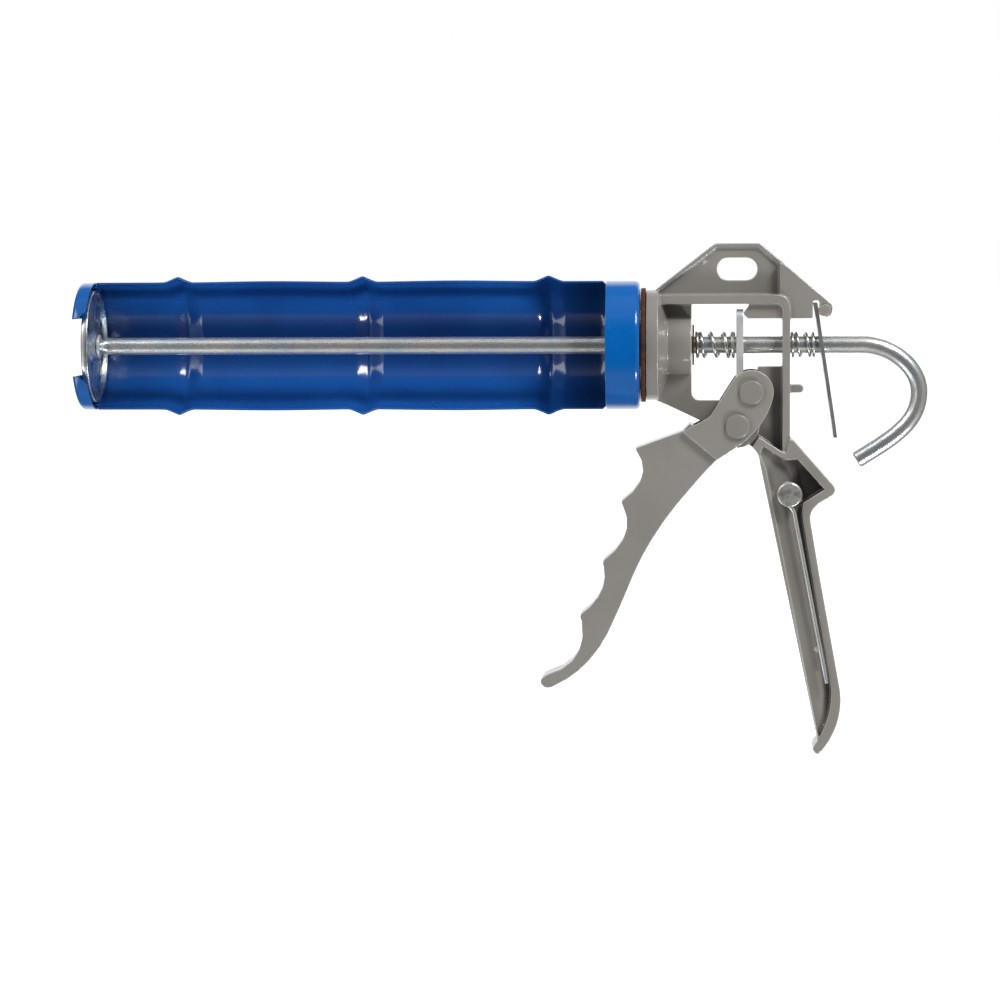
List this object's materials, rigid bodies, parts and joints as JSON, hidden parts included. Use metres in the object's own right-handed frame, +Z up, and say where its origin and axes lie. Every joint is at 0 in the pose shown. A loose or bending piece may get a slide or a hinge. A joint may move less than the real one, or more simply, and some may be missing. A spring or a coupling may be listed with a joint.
{
  "type": "caulking gun",
  "caption": "Half-barrel cartridge caulking gun with swivel barrel, hooked push rod, squeeze trigger, thumb release lever and swing-out puncture wire.",
  "frame": {"origin": "the middle of the plunger's pressing face, on the rod's axis, with the rod nearly home", "axes": "+X from the nozzle end to the hook, +Z up away from the handle, the barrel's open side faces -Y"},
  "size_m": [0.3452, 0.0544, 0.2069],
  "materials": {
    "enamel": "gloss blue enamel",
    "enamel_inside": "gloss blue enamel",
    "grey_casting": "satin warm grey paint on cast alloy",
    "grey_rivet": "satin warm grey paint on steel rivets",
    "zinc_steel": "bright zinc plate",
    "spring_steel": "drawn wire",
    "fibre": "matt brown fibre"
  },
  "bodies": {
    "frame": {"frame": "grey_casting", "swivel_washer": "fibre", "thrust_washer": "zinc_steel", "swivel_nut": "zinc_steel", "spring_seat": "fibre", "drive_spring": "spring_steel", "release_spring": "spring_steel", "lever_pin": "grey_casting", "wire_rivet": "zinc_steel", "pivot_pin": "grey_rivet"},
    "barrel": {"cradle": "enamel_inside", "front_cap": "enamel", "rear_cap": "enamel"},
    "plunger": {"plunger_disc": "zinc_steel", "plunger_washer": "zinc_steel"},
    "rod": {"push_rod": "zinc_steel"},
    "trigger": {"trigger": "grey_casting", "drive_pin": "grey_rivet", "drive_roller": "zinc_steel"},
    "thrust": {"drive_plate": "zinc_steel"},
    "lever": {"release_lever": "zinc_steel"},
    "wire": {"puncture_wire": "zinc_steel"}
  },
  "joints": [
    {"name": "barrel_turn", "type": "hinge", "parent": "frame", "child": "barrel", "pos_m": [0.2256, 0, 0], "axis": [1, 0, 0], "continuous": true},
    {"name": "rod_slide", "type": "slide", "parent": "frame", "child": "plunger", "axis": [1, 0, 0], "range_m": [-0.0023, 0.21]},
    {"name": "rod_turn", "type": "hinge", "parent": "plunger", "child": "rod", "pos_m": [0, 0, 0], "axis": [1, 0, 0], "continuous": true},
    {"name": "trigger_squeeze", "type": "hinge", "parent": "frame", "child": "trigger", "pos_m": [0.2649, 0, -0.0326], "axis": [0, -1, 0], "range_deg": [0, 33], "stiffness_Nm_per_rad": 0.6, "springref_deg": -28.65},
    {"name": "plate_push", "type": "slide", "parent": "frame", "child": "thrust", "axis": [-1, 0, 0], "range_m": [0, 0.0086], "deforming": ["drive_spring"]},
    {"name": "lever_press", "type": "hinge", "parent": "frame", "child": "lever", "pos_m": [0.2962, 0, 0.0155], "axis": [0, 1, 0], "range_deg": [0, 12], "stiffness_Nm_per_rad": 0.02, "springref_deg": -28.65, "deforming": ["release_spring"]},
    {"name": "wire_swing", "type": "hinge", "parent": "frame", "child": "wire", "pos_m": [0.2858, -0.0102, -0.0602], "axis": [0, -1, 0], "range_deg": [0, 130]}
  ],
  "couplings": [
    {"joint": "plate_push", "follows": "trigger_squeeze", "m_per_rad": 0.01457}
  ]
}
